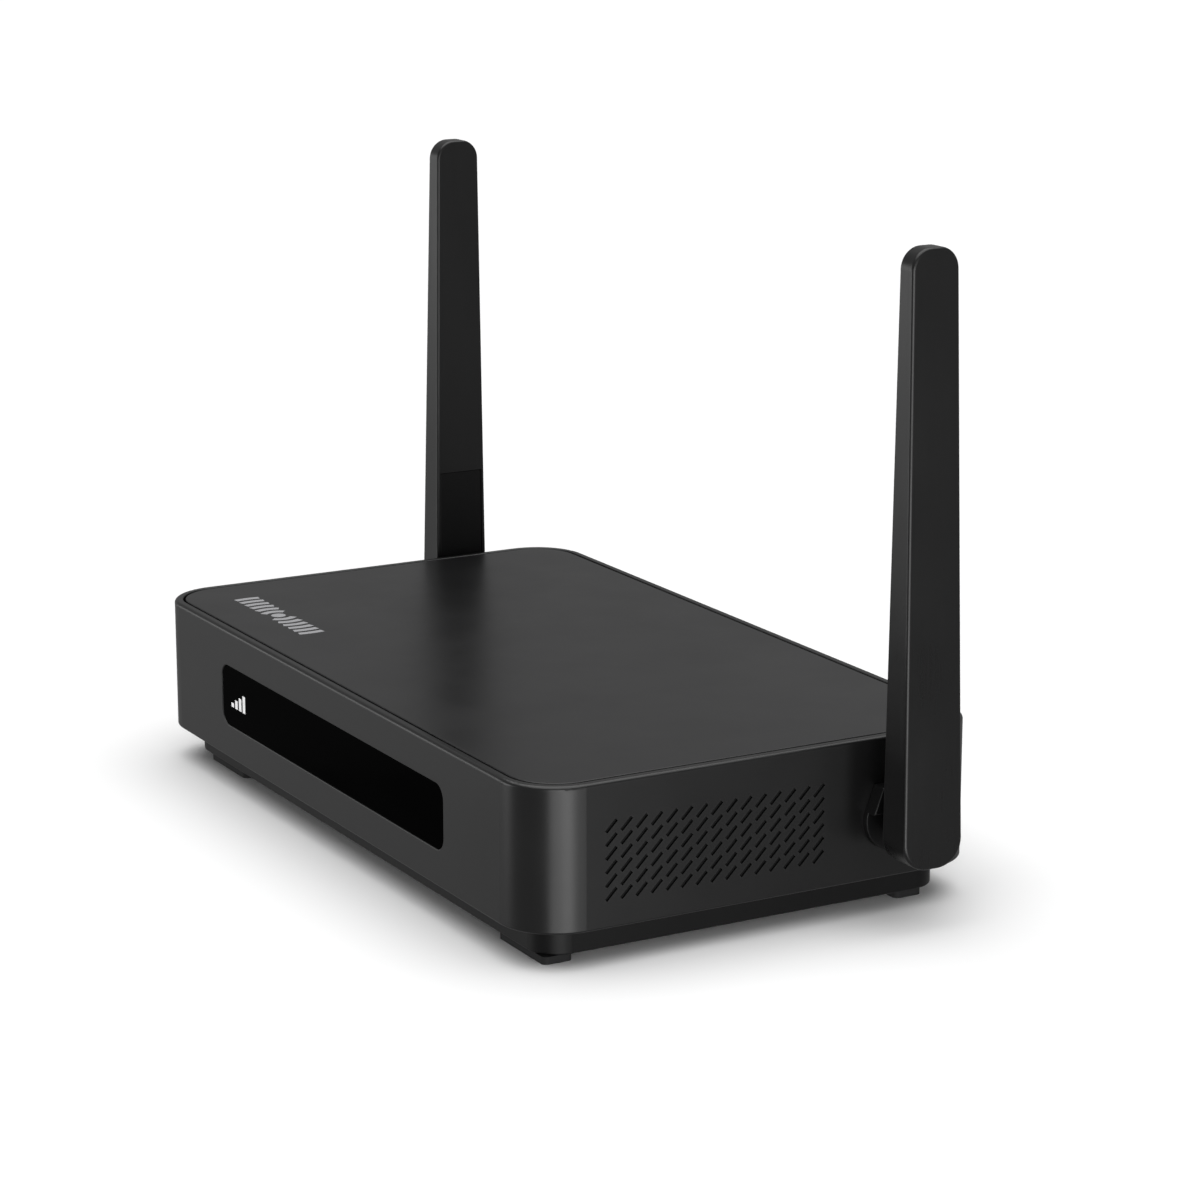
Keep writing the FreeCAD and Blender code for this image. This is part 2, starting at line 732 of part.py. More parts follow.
def make_processor_stack():
    """The processor, the pad on it and the finned heat sink on the pad."""
    chip_top = f"{BOARD_TOP} + chip_height"
    sink_bottom = f"{chip_top} + pad_height"
    keep(block("processor", ("chip_side", "chip_side", "chip_height"), ("chip_x", "chip_y", BOARD_TOP)))
    keep(block("thermal_pad", ("pad_side", "pad_side", "pad_height"), ("chip_x", "chip_y", chip_top)))
    body = new_body("heat_sink")
    base = new_sketch(body, "base", "XY_Plane", ("chip_x", "chip_y", sink_bottom))
    rectangle(base, "sink_side", "sink_side")
    pad(body, "base", base, "sink_base")
    first_fin = f"chip_x - {(FINS - 1) / 2} * fin_pitch"
    fin_foot = f"{sink_bottom} + sink_base - overlap"
    fin = new_sketch(body, "fin", "XY_Plane", (first_fin, "chip_y", fin_foot))
    rectangle(fin, "fin_width", "sink_side")
    first = pad(body, "fin", fin, "fin_height")
    repeat(body, "fin", first, [("X_Axis", FINS, "fin_pitch", False)])


def make_radio():
    """The screened radio section and the small radio board the antenna leads plug into."""
    can = new_body("radio_shield")
    outline = new_sketch(can, "outline", "XY_Plane", ("shield_x", "radio_y", BOARD_TOP))
    rectangle(outline, "shield_length", "shield_width")
    pad(can, "outline", outline, "shield_height")
    inside = new_sketch(can, "inside", "XY_Plane", ("shield_x", "radio_y", BOARD_TOP))
    rectangle(inside, "shield_length - 2 * shield_sheet", "shield_width - 2 * shield_sheet")
    pocket(can, "inside", inside, "shield_height - shield_sheet", reverse=True)
    board = block("radio_module_board", ("radio_length", "radio_width", "radio_thickness"),
                  ("radio_x", "radio_y", BOARD_TOP))
    sockets = [rod(f"radio_module_socket_{side}", "radio_socket", "radio_socket",
                   (f"radio_x + {sign} * radio_socket_spread", "radio_y", f"{BOARD_TOP} + radio_thickness"),
                   UPWARDS)
               for side, sign in SIDES]
    keep(joined("radio_module", [board, *sockets]))


def make_front_electronics():
    """The narrow board behind the window, with its lamps and its remote control receiver."""
    board_face = "-box_depth / 2 + wall + panel_gap"
    keep(block("display_board", ("panel_length", "panel_thickness", "panel_height"),
               (0, f"{board_face} + panel_thickness / 2", "window_mid - panel_height / 2")))
    lamp_y = f"{board_face} - lamp_thickness / 2"
    lamps = [block(f"lamp_{n}", ("lamp_side", "lamp_thickness", "lamp_side"),
                   (x, lamp_y, "window_mid - lamp_side / 2"))
             for n, x in enumerate(LAMP_PLACES)]
    keep(joined("status_lights", lamps))
    keep(block("infrared_receiver", ("receiver_width", "lamp_thickness", "receiver_height"),
               ("receiver_x", lamp_y, "window_mid - receiver_height / 2")))


# ---------------------------------------------------------------- rear connectors

POWER_Z = f"{BOARD_TOP} + power_height"
PICTURE_Z = f"{BOARD_TOP} + picture_height"
NETWORK_Z = f"{BOARD_TOP} + network_tall / 2"
CONTROL_Z = f"{BOARD_TOP} + control_height"
BUTTON_Z = f"{BOARD_TOP} + button_height"
REAR_OPENINGS = [
    ("power_opening", "power_x", POWER_Z, circle, ("power_opening",)),
    ("picture_opening", "picture_x", PICTURE_Z, rectangle,
     ("picture_width + 2 * picture_gap", "picture_tall + 2 * picture_gap")),
    ("network_opening", "network_x", NETWORK_Z, rectangle,
     ("network_width + 2 * network_gap", "network_tall + 2 * network_gap")),
    ("control_opening", "control_x", CONTROL_Z, circle, ("control_opening",)),
    ("button_opening", "button_x", BUTTON_Z, circle, ("button_opening",)),
]


def make_power_jack():
    """A barrel jack: a block behind the wall, a nose in the wall, and the centre contact."""
    case = block("power_jack_case", ("power_case_width", "power_case_depth", "power_case_height"),
                 ("power_x", f"{INNER_BACK} - power_case_depth / 2", BOARD_TOP))
    nose = rod("power_jack_nose", "power_nose", "wall", ("power_x", INNER_BACK, POWER_Z), ALONG_Y)
    hole = rod("power_jack_hole", "power_bore", "power_bore_depth + overlap",
               ("power_x", f"{BACK_FACE} - power_bore_depth", POWER_Z), ALONG_Y)
    contact = rod("power_jack_contact", "power_contact", "power_contact_length",
                  ("power_x", f"{BACK_FACE} - power_bore_depth - power_contact / 2", POWER_Z), ALONG_Y)
    hollow = without("power_jack_hollow", joined("power_jack_whole", [case, nose]), hole)
    keep(joined("power_jack", [hollow, contact]))


def make_picture_socket():
    """A flat picture and sound socket: a metal shell with a tongue."""
    middle = f"{BACK_FACE} - picture_depth / 2"
    shell = block("picture_shell", ("picture_width", "picture_depth", "picture_tall"),
                  ("picture_x", middle, f"{PICTURE_Z} - picture_tall / 2"))
    room_height = "picture_tall - 2 * picture_sheet"
    room = block("picture_room", ("picture_width - 2 * picture_sheet", "picture_depth", room_height),
                 ("picture_x", f"{middle} + 2 * picture_sheet", f"{PICTURE_Z} - ({room_height}) / 2"))
    tongue = block("picture_tongue", ("tongue_span", "tongue_depth", "tongue_thick"),
                   ("picture_x", f"{middle} - picture_sheet", f"{PICTURE_Z} - tongue_thick / 3"))
    keep(joined("picture_sound_socket", [without("picture_hollow", shell, room), tongue]))


def make_network_socket():
    """An eight-way network jack with its latch notch below the plug room."""
    case = block("network_case", ("network_width", "network_depth", "network_tall"),
                 ("network_x", f"{BACK_FACE} - network_depth / 2", BOARD_TOP))
    room_middle = f"{BACK_FACE} + overlap - plug_room_depth / 2"
    room = block("network_room", ("plug_room_width", "plug_room_depth", "plug_room_height"),
                 ("network_x", room_middle, f"{BOARD_TOP} + plug_room_base"))
    notch_height = "plug_room_base - latch_base + overlap"
    notch = block("network_notch", ("latch_width", "plug_room_depth", notch_height),
                  ("network_x", room_middle, f"{BOARD_TOP} + latch_base"))
    keep(without("ethernet_socket", case, joined("network_hollow", [room, notch])))


def make_control_jack():
    """A 3.5 mm jack for an infrared extension lead."""
    case = block("control_case", ("control_case_width", "control_case_depth", "control_case_height"),
                 ("control_x", f"{INNER_BACK} - control_case_depth / 2", BOARD_TOP))
    nose = rod("control_nose", "control_nose", "wall", ("control_x", INNER_BACK, CONTROL_Z), ALONG_Y)
    hole = rod("control_hole", "control_bore", "control_bore_depth + overlap",
               ("control_x", f"{BACK_FACE} - control_bore_depth", CONTROL_Z), ALONG_Y)
    keep(without("control_jack", joined("control_whole", [case, nose]), hole))


def make_pairing_button():
    """A push button whose flange stays behind the wall, and the switch it presses."""
    inner_end = f"{BACK_FACE} - button_length"
    cap = rod("pairing_cap", "button_radius", "button_length", ("button_x", inner_end, BUTTON_Z), ALONG_Y)
    flange_end = f"{INNER_BACK} - button_flange_thickness - button_flange_gap"
    flange = rod("pairing_flange", "button_flange", "button_flange_thickness",
                 ("button_x", flange_end, BUTTON_Z), ALONG_Y)
    keep(joined("pairing_button", [cap, flange]))
    switch_middle = f"{inner_end} - switch_travel - switch_depth / 2"
    keep(block("button_switch", ("switch_width", "switch_depth", "switch_height"),
               ("button_x", switch_middle, BOARD_TOP)))


# ---------------------------------------------------------------- antennas

def outward(sign, reach):
    """A signed distance from the middle of the box, for planes parallel to the side walls."""
    return f"{sign} * ({reach})"


def cut_leaning(body, tag, sign, inset, keep_inner):
    """Cut the paddle along a plane parallel to its leaning outer face, `inset` inside it."""
    plane = new_sketch(body, tag, "YZ_Plane",
                       ("hinge_y", "lean_foot", outward(sign, f"paddle_outer - {inset}")))
    placement = plane.AttachmentOffset
    placement.Rotation = Rotation(Vector(-sign, 0, 0), 1)
    plane.AttachmentOffset = placement
    bind(plane, "AttachmentOffset.Rotation.Angle", "paddle_lean")
    rectangle(plane, "2 * paddle_foot_width", "2 * (paddle_base + paddle_height)")
    away_from_normal = (sign > 0) != keep_inner
    pocket(body, tag, plane, "paddle_blank + paddle_wall", reverse=not away_from_normal)


def start_paddle(label, sign):
    """The paddle's outline, from its flat inner face to beyond its outer face."""
    body = new_body(label)
    outline = new_sketch(body, "outline", "YZ_Plane",
                         ("hinge_y", "paddle_base", outward(sign, "paddle_inner")))
    trapezoid(outline, "paddle_foot_width", "paddle_head_width", "paddle_height")
    pad(body, "blank", outline, "paddle_blank", reverse=sign < 0)
    base = DIMENSIONS["paddle_base"]
    for end, level in (("foot", base), ("head", base + DIMENSIONS["paddle_height"])):
        round_edges(body, f"{end}_corner", lambda edge: runs_along(edge, 0) and flat_at(edge, 2, level),
                    f"paddle_{end}_corner")
    return body


def make_antenna_shell(side, sign):
    body = start_paddle(f"{side}_antenna_shell", sign)
    cut_leaning(body, "seam", sign, "paddle_skin", keep_inner=True)
    inner = sign * DIMENSIONS["paddle_inner"]
    round_edges(body, "inner_edge", lambda edge: flat_at(edge, 0, inner), "paddle_edge")
    outwards = sign > 0
    cavity = new_sketch(body, "cavity", "YZ_Plane",
                        ("hinge_y", "cavity_low", outward(sign, "paddle_inner + paddle_wall")))
    trapezoid(cavity, "cavity_foot_width", "cavity_head_width", "cavity_length")
    pocket(body, "cavity", cavity, "paddle_blank", reverse=outwards)
    seat = new_sketch(body, "plate_seat", "YZ_Plane",
                      ("hinge_y", "(plate_low + plate_top) / 2", outward(sign, "paddle_inner")))
    rectangle(seat, "plate_width + 2 * plate_gap", "plate_top - plate_low")
    pocket(body, "plate_seat", seat, "paddle_wall", reverse=outwards)
    fork = new_sketch(body, "fork", "YZ_Plane",
                      ("hinge_y", "paddle_base", outward(sign, "paddle_inner")))
    rectangle(fork, "fork_width", "2 * (fork_top - paddle_base)")
    pocket(body, "fork", fork, "fork_depth", reverse=outwards)
    lead_way = new_sketch(body, "lead_way", "XY_Plane",
                          (outward(sign, "paddle_inner + lead_way_inset"), "hinge_y", "fork_top - overlap"))
    circle(lead_way, "lead_way_radius")
    pocket(body, "lead_way", lead_way, "cavity_low - fork_top + 2 * overlap", reverse=True)
    pin_way = new_sketch(body, "pin_way", "XZ_Plane",
                         (outward(sign, "pin_x"), "hinge_z", "pin_front - hinge_y"))
    circle(pin_way, "pin_radius")
    pocket(body, "pin_way", pin_way, "paddle_foot_width", reverse=False)


def make_antenna_cover(side, sign):
    body = start_paddle(f"{side}_antenna_cover", sign)
    cut_leaning(body, "outer_face", sign, "0", keep_inner=True)
    cut_leaning(body, "seam", sign, "paddle_skin", keep_inner=False)
    lean = math.radians(DIMENSIONS["paddle_lean"])

    def on_outer_face(edge):
        middle = edge.BoundBox.Center
        face_x = DIMENSIONS["paddle_outer"] - (middle.z - DIMENSIONS["lean_foot"]) * math.tan(lean)
        return abs(abs(middle.x) - face_x) < 0.2
    round_edges(body, "outer_edge", on_outer_face, "paddle_edge")


def make_hinge_plate(side, sign):
    """The plate that closes the paddle's lower inner side, over the lead."""
    body = new_body(f"{side}_antenna_hinge_plate")
    outline = new_sketch(body, "outline", "YZ_Plane",
                         ("hinge_y", "(plate_low + plate_top) / 2",
                          outward(sign, "paddle_inner + plate_recess")))
    rectangle(outline, "plate_width", "plate_top - plate_low - 2 * plate_gap")
    pad(body, "plate", outline, "plate_thickness - plate_recess", reverse=sign < 0)
    inner = sign * (DIMENSIONS["paddle_inner"] + DIMENSIONS["plate_recess"])
    round_edges(body, "edge", lambda edge: flat_at(edge, 0, inner), "small_round")


def make_antenna_element(side, sign):
    """The radiating strip inside the paddle."""
    size = ("element_thickness", "element_width", "element_length")
    keep(block(f"{side}_antenna_element", size,
               (outward(sign, "paddle_inner + element_inset"), "hinge_y", "element_base")))


def make_antenna_pin(side, sign):
    """The axle the paddle tilts on, pressed in from the back."""
    keep(rod(f"{side}_antenna_pin", "pin_radius", "pin_front + pin_back",
             (outward(sign, "pin_x"), "hinge_y - pin_front", "hinge_z"), ALONG_Y))


def make_swivel(side, sign):
    """Barrel in the wall, disc on it, stop lug above and the tongue that carries the pin."""
    body = new_body(f"{side}_antenna_swivel")
    outwards = sign > 0
    face = "box_width / 2 + swivel_gap"

    def side_sketch(tag, reach):
        return new_sketch(body, tag, "YZ_Plane", ("hinge_y", "hinge_z", outward(sign, reach)))

    disc = side_sketch("disc", face)
    circle(disc, "disc_radius")
    pad(body, "disc", disc, "disc_thickness", reverse=not outwards)
    disc_face = sign * (DIMENSIONS["box_width"] / 2 + DIMENSIONS["swivel_gap"] + DIMENSIONS["disc_thickness"])
    round_edges(body, "disc_edge", lambda edge: flat_at(edge, 0, disc_face), "small_round")
    barrel = side_sketch("barrel", face)
    circle(barrel, "barrel_radius")
    pad(body, "barrel", barrel, "barrel_length", reverse=outwards)
    lug = new_sketch(body, "lug", "YZ_Plane", ("hinge_y", "hinge_z + lug_base", outward(sign, face)))
    trapezoid(lug, "lug_foot_width", "lug_head_width", "lug_height")
    pad(body, "lug", lug, "lug_reach", reverse=not outwards)
    lug_face = sign * (DIMENSIONS["box_width"] / 2 + DIMENSIONS["swivel_gap"] + DIMENSIONS["lug_reach"])
    round_edges(body, "lug_edge", lambda edge: flat_at(edge, 0, lug_face), "small_round * 1.5")

    reach = f"{face} + disc_thickness - overlap"
    arm = new_sketch(body, "arm", "XZ_Plane",
                     (outward(sign, f"({reach} + pin_x) / 2"), "hinge_z", "-hinge_y"))
    rectangle(arm, f"pin_x - ({reach})", "tongue_height")
    pad(body, "arm", arm, "tongue_width", both_ways=True)
    end = new_sketch(body, "end", "XZ_Plane", (outward(sign, "pin_x"), "hinge_z", "-hinge_y"))
    circle(end, "tongue_height / 2")
    pad(body, "end", end, "tongue_width", both_ways=True)
    eye = new_sketch(body, "eye", "XZ_Plane", (outward(sign, "pin_x"), "hinge_z", "-hinge_y"))
    circle(eye, "pin_radius + pin_clearance")
    pocket(body, "eye", eye, "tongue_width + overlap", both_ways=True)

    groove = side_sketch("groove", f"{face} - groove_start")
    circle(groove, "barrel_radius + overlap")
    circle(groove, "groove_radius")
    pocket(body, "groove", groove, "groove_width", reverse=not outwards)
    bore = side_sketch("bore", f"{face} - barrel_length")
    circle(bore, "bore_radius")
    pocket(body, "bore", bore, "barrel_length - bore_floor", reverse=outwards)


def make_clip(side, sign):
    """The open ring in the barrel's groove that holds the swivel in the wall."""
    body = new_body(f"{side}_antenna_clip")
    outwards = sign > 0
    place = outward(sign, "box_width / 2 + swivel_gap - groove_start - (groove_width - clip_thickness) / 2")
    ring = new_sketch(body, "ring", "YZ_Plane", ("hinge_y", "hinge_z", place))
    circle(ring, "clip_radius")
    circle(ring, "groove_radius")
    pad(body, "ring", ring, "clip_thickness", reverse=outwards)
    mouth = new_sketch(body, "mouth", "YZ_Plane", ("hinge_y", "hinge_z - clip_radius", place))
    rectangle(mouth, "clip_mouth", "clip_radius * 2")
    pocket(body, "mouth", mouth, "clip_thickness", reverse=not outwards)


def lead_path(points, radius):
    """Straight runs joined by tangent arcs of one radius."""
    edges = []
    start = points[0]
    for before, corner, after in zip(points, points[1:], points[2:]):
        inward = (before - corner).normalize()
        onward = (after - corner).normalize()
        half_angle = inward.getAngle(onward) / 2
        setback = radius / math.tan(half_angle)
        enter = corner + inward * setback
        leave = corner + onward * setback
        centre = corner + (inward + onward).normalize() * (radius / math.sin(half_angle))
        middle = centre + (corner - centre).normalize() * radius
        edges.append(Part.LineSegment(start, enter).toShape())
        edges.append(Part.Arc(enter, middle, leave).toShape())
        start = leave
    edges.append(Part.LineSegment(start, points[-1]).toShape())
    return Part.Wire(edges)


def make_antenna_lead(side, sign):
    """The coaxial lead from the swivel's bore to its plug on the radio board."""
    hinge_y = sheet.hinge_y
    hinge_z = sheet.hinge_z
    bore_end = sheet.box_width / 2 + sheet.swivel_gap - sheet.barrel_length
    plug_x = sheet.radio_x + sign * sheet.radio_socket_spread
    plug_y = sheet.radio_y
    socket_top = sheet.board_base + sheet.board_thickness + sheet.radio_thickness + sheet.radio_socket
    plug_z = socket_top + sheet.lead_plug_height / 2
    high = hinge_z + 7
    route = [
        Vector(sign * (bore_end + 3), hinge_y, hinge_z),
        Vector(sign * (bore_end - 6), hinge_y, hinge_z),
        Vector(sign * (bore_end - 12), hinge_y - 12, high),
        Vector(plug_x + sign * 10 + 14, 2 * plug_y + 4 * sign, high),
        Vector(plug_x, plug_y - 9, plug_z),
        Vector(plug_x, plug_y, plug_z),
    ]
    wire = lead_path(route, sheet.lead_bend)
    jacket = Part.Wire(Part.Circle(route[0], Vector(sign, 0, 0), sheet.lead_radius).toShape())
    tube = wire.makePipeShell([jacket], True, False)
    plug = Part.makeCylinder(sheet.lead_plug_radius, sheet.lead_plug_height,
                             Vector(plug_x, plug_y, socket_top), UPWARDS)
    lead = doc.addObject("Part::Feature", f"{side}_antenna_lead")
    lead.Shape = tube.fuse(plug)
    lead.Placement = Placement()
    keep(lead)


# ---------------------------------------------------------------- build, check, write

def check_document():
    """Stop on any failed object and on any sub-part without a valid, closed solid."""
    failed = [item.Name for item in doc.Objects if "Invalid" in item.State or "Error" in item.State]
    if failed:
        raise RuntimeError(f"failed objects: {failed}")
    for item in sub_parts:
        shape = item.Shape
        if shape.isNull() or not shape.isValid() or not shape.Solids:
            raise RuntimeError(f"{item.Label} has no valid solid")


def write_parts():
    os.makedirs("parts", exist_ok=True)
    for item in sub_parts:
        item.Shape.exportStep(f"parts/{item.Label}.step")
        box = item.Shape.optimalBoundingBox()
        print(f"{item.Label:28s} solids {len(item.Shape.Solids):2d}  volume {item.Shape.Volume:9.1f}"
              f"  x {box.XMin:7.2f} {box.XMax:7.2f}  y {box.YMin:7.2f} {box.YMax:7.2f}"
              f"  z {box.ZMin:6.2f} {box.ZMax:6.2f}")


make_upper_housing()
make_lid()
make_bottom_tray()
make_feet()
make_window()
make_case_screws()
make_main_board()
make_board_screws()
make_processor_stack()
make_radio()
make_front_electronics()
make_power_jack()
make_picture_socket()
make_network_socket()
make_control_jack()
make_pairing_button()
for side, sign in SIDES:
    make_swivel(side, sign)
    make_clip(side, sign)
    make_antenna_pin(side, sign)
    make_antenna_shell(side, sign)
    make_antenna_cover(side, sign)
    make_hinge_plate(side, sign)
    make_antenna_element(side, sign)
    make_antenna_lead(side, sign)
doc.recompute()
check_document()
write_parts()
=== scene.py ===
import math

import bmesh
import bpy
from mathutils import Matrix, Vector


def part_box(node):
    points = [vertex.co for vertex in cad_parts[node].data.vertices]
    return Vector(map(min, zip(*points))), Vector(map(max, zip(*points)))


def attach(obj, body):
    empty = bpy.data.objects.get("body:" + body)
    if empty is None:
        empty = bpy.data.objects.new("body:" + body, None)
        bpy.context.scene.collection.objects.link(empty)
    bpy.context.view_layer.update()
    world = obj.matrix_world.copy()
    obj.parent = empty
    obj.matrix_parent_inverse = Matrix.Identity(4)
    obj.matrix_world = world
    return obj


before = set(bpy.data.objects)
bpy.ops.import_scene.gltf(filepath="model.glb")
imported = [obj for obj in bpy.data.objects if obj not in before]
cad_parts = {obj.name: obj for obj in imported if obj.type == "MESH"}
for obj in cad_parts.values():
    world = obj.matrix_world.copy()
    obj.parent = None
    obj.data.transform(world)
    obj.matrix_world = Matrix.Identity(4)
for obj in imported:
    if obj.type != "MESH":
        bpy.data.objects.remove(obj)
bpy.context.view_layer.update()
scene = bpy.context.scene

# The frame's own units are metres; sizes below are written in millimetres.
MM = 0.001

# camera: bearing from the front towards the right and height angle, in degrees
CAMERA_BEARING, CAMERA_ELEVATION = 60.67, 14.0
CAMERA_TARGET = Vector((33.52, -7.467, 48.617)) * MM
CAMERA_DISTANCE = 600 * MM
CAMERA_LENS, CAMERA_SENSOR = 106.56, 36.0

# printed marks: how deep the ink is let into the surface and how far it stands proud
INK_SUNK, INK_PROUD = -0.02 * MM, 0.03 * MM

# side vents of the housing
VENT_FIRST_Y, VENT_FIRST_Z = -28.7 * MM, 12.1 * MM
VENT_PITCH, VENT_RISE = 2.78 * MM, 2.27 * MM
VENT_COLUMNS, VENT_ROWS = 15, 6
FILTER_HALF_LENGTH, FILTER_HALF_WIDTH = 1.37 * MM, 0.33 * MM
FILTER_SUNK, FILTER_REACH = 0.45 * MM, 1.9 * MM

DOME_POWER, DOME_ANGLE = 2.8, math.radians(80)
WORLD_STRENGTH = 0.28
FLOOR_HALF = 6.0
FLOOR_WHITE, FLOOR_ROUGHNESS = 0.9, 0.9


# ---------------------------------------------------------------- node helpers

def plug(tree, socket, value):
    """Link a socket's source to an input, or set the input's own value."""
    if isinstance(value, bpy.types.NodeSocket):
        tree.links.new(value, socket)
    else:
        socket.default_value = value


def add_node(tree, kind, settings=None, inputs=None):
    """A new node with its settings, and its inputs linked or set by name or index."""
    node = tree.nodes.new(kind)
    for name, value in (settings or {}).items():
        setattr(node, name, value)
    for name, value in (inputs or {}).items():
        plug(tree, node.inputs[name], value)
    return node


def spread(tree, factor, low, high, source_low=0.0, source_high=1.0):
    """Map a factor onto the range low to high."""
    node = add_node(tree, "ShaderNodeMapRange", inputs={
        "Value": factor, "From Min": source_low, "From Max": source_high, "To Min": low, "To Max": high})
    return node.outputs["Result"]


def arithmetic(tree, operation, first, second):
    node = add_node(tree, "ShaderNodeMath", {"operation": operation}, {0: first, 1: second})
    return node.outputs[0]


def noise(tree, size, detail=2.0, stretch=(1, 1, 1)):
    """Noise whose blotches are about `size` metres wide, stretched along the axes."""
    coordinates = add_node(tree, "ShaderNodeTexCoord").outputs["Object"]
    mapping = add_node(tree, "ShaderNodeMapping", inputs={
        "Vector": coordinates, "Scale": tuple(1 / (size * factor) for factor in stretch)})
    texture = add_node(tree, "ShaderNodeTexNoise", inputs={
        "Vector": mapping.outputs["Vector"], "Scale": 1.0, "Detail": detail})
    return texture.outputs["Fac"]


def mix_colour(tree, factor, first, second):
    """Blend two colours. The Mix node repeats its sockets per data type; these are the colour ones."""
    factor_socket, first_socket, second_socket, result_socket = 0, 6, 7, 2
    node = add_node(tree, "ShaderNodeMix", {"data_type": "RGBA"},
                    {factor_socket: factor, first_socket: first, second_socket: second})
    return node.outputs[result_socket]


def edge_mask_for_wear_and_highlight(tree, radius):
    """1 along the edges of the mesh within `radius`, 0 on its faces."""
    bevel = add_node(tree, "ShaderNodeBevel", {"samples": 4}, {"Radius": radius})
    normal = add_node(tree, "ShaderNodeNewGeometry").outputs["Normal"]
    product = add_node(tree, "ShaderNodeVectorMath", {"operation": "DOT_PRODUCT"},
                       {0: bevel.outputs["Normal"], 1: normal})
    return spread(tree, product.outputs["Value"], 0.0, 1.0, 0.995, 0.9)


def grey(level, blue=1.0):
    return (level, level, level * blue, 1.0)


def vary(tree, factor, middle, amount):
    """A value that wanders about `middle` by `amount` as a noise factor does."""
    noise_low, noise_high = 0.3, 0.7
    return spread(tree, factor, middle - amount, middle + amount, noise_low, noise_high)


def new_material(name):
    material = bpy.data.materials.new(name)
    material.use_nodes = True
    return material, material.node_tree, material.node_tree.nodes["Principled BSDF"]


def add_bump(tree, shader, height, distance):
    bump = add_node(tree, "ShaderNodeBump", inputs={"Strength": 1.0, "Distance": distance, "Height": height})
    plug(tree, shader.inputs["Normal"], bump.outputs["Normal"])


# ---------------------------------------------------------------- materials

def make_plastic(name, level, roughness, blue=1.04, grain=0.22 * MM, depth=0.002 * MM, wear_and_highlight_amount=0.35,
                 streak=None, specular=0.5):
    """Moulded plastic: uneven tone and gloss, a fine spark-eroded grain, and duller edges painted paler,
    partly as rubbed wear and partly as a painted highlight.
    """
    cloud_size, rub_size, streak_size, edge_radius = 18 * MM, 3 * MM, 0.5 * MM, 0.45 * MM
    tone_spread, wear_and_highlight_tone, rubbed_roughness = 0.12, 2.2, 0.3
    material, tree, shader = new_material(name)
    cloud = noise(tree, cloud_size, 3.0)
    fine = noise(tree, grain, 2.0)
    edges = edge_mask_for_wear_and_highlight(tree, edge_radius)
    edge_wear_and_highlight = arithmetic(tree, "MULTIPLY", edges, spread(tree, noise(tree, rub_size), 0.35, 1.0, 0.3, 0.7))
    edge_wear_and_highlight = arithmetic(tree, "MULTIPLY", edge_wear_and_highlight, wear_and_highlight_amount)
    darker, lighter = grey(level * (1 - tone_spread), blue), grey(level * (1 + tone_spread), blue)
    body = mix_colour(tree, cloud, darker, lighter)
    # The paler edge colour is partly rubbed wear and partly a painted highlight along the edges.
    plug(tree, shader.inputs["Base Color"], mix_colour(tree, edge_wear_and_highlight, body, grey(level * wear_and_highlight_tone, blue)))
    uneven = vary(tree, cloud, roughness, 0.03)
    if streak:
        uneven = arithmetic(tree, "ADD", uneven, vary(tree, noise(tree, streak_size, 2.0, streak), 0.0, 0.02))
    rubbed_part = arithmetic(tree, "MULTIPLY", edge_wear_and_highlight, rubbed_roughness)
    plug(tree, shader.inputs["Roughness"], arithmetic(tree, "ADD", uneven, rubbed_part))
    add_bump(tree, shader, fine, depth)
    shader.inputs["Specular IOR Level"].default_value = specular
    return material


def make_window_gloss(name):
    """Deep black smoked strip, smooth but hardly reflecting, with faint wiping marks."""
    material, tree, shader = new_material(name)
    haze = noise(tree, 6 * MM, 4.0, (3, 1, 1))
    plug(tree, shader.inputs["Base Color"], mix_colour(tree, haze, grey(0.0002), grey(0.0004)))
    plug(tree, shader.inputs["Roughness"], spread(tree, haze, 0.05, 0.16, 0.3, 0.7))
    shader.inputs["Specular IOR Level"].default_value = 0.003
    return material


def make_metal(name, colour, roughness, brushed=(1, 1, 1), depth=0.003 * MM):
    """Sheet or turned metal with a brushed or rolled finish and a cloudy tone."""
    line_size, cloud_size, dark_share = 0.12 * MM, 5 * MM, 0.75
    material, tree, shader = new_material(name)
    lines = noise(tree, line_size, 3.0, brushed)
    cloud = noise(tree, cloud_size, 3.0)
    dark = tuple(part * dark_share for part in colour) + (1,)
    plug(tree, shader.inputs["Base Color"], mix_colour(tree, cloud, dark, tuple(colour) + (1,)))
    uneven = arithmetic(tree, "ADD", vary(tree, cloud, roughness, 0.05), vary(tree, lines, 0.0, 0.06))
    plug(tree, shader.inputs["Roughness"], uneven)
    add_bump(tree, shader, lines, depth)
    shader.inputs["Metallic"].default_value = 1.0
    return material


def make_ink(name, colour, roughness):
    """Screen printed ink: a slightly uneven film."""
    grain_size, dark_share = 0.3 * MM, 0.85
    material, tree, shader = new_material(name)
    film = noise(tree, grain_size, 3.0)
    dark = tuple(part * dark_share for part in colour) + (1,)
    plug(tree, shader.inputs["Base Color"], mix_colour(tree, film, dark, tuple(colour) + (1,)))
    plug(tree, shader.inputs["Roughness"], vary(tree, film, roughness, 0.08))
    return material


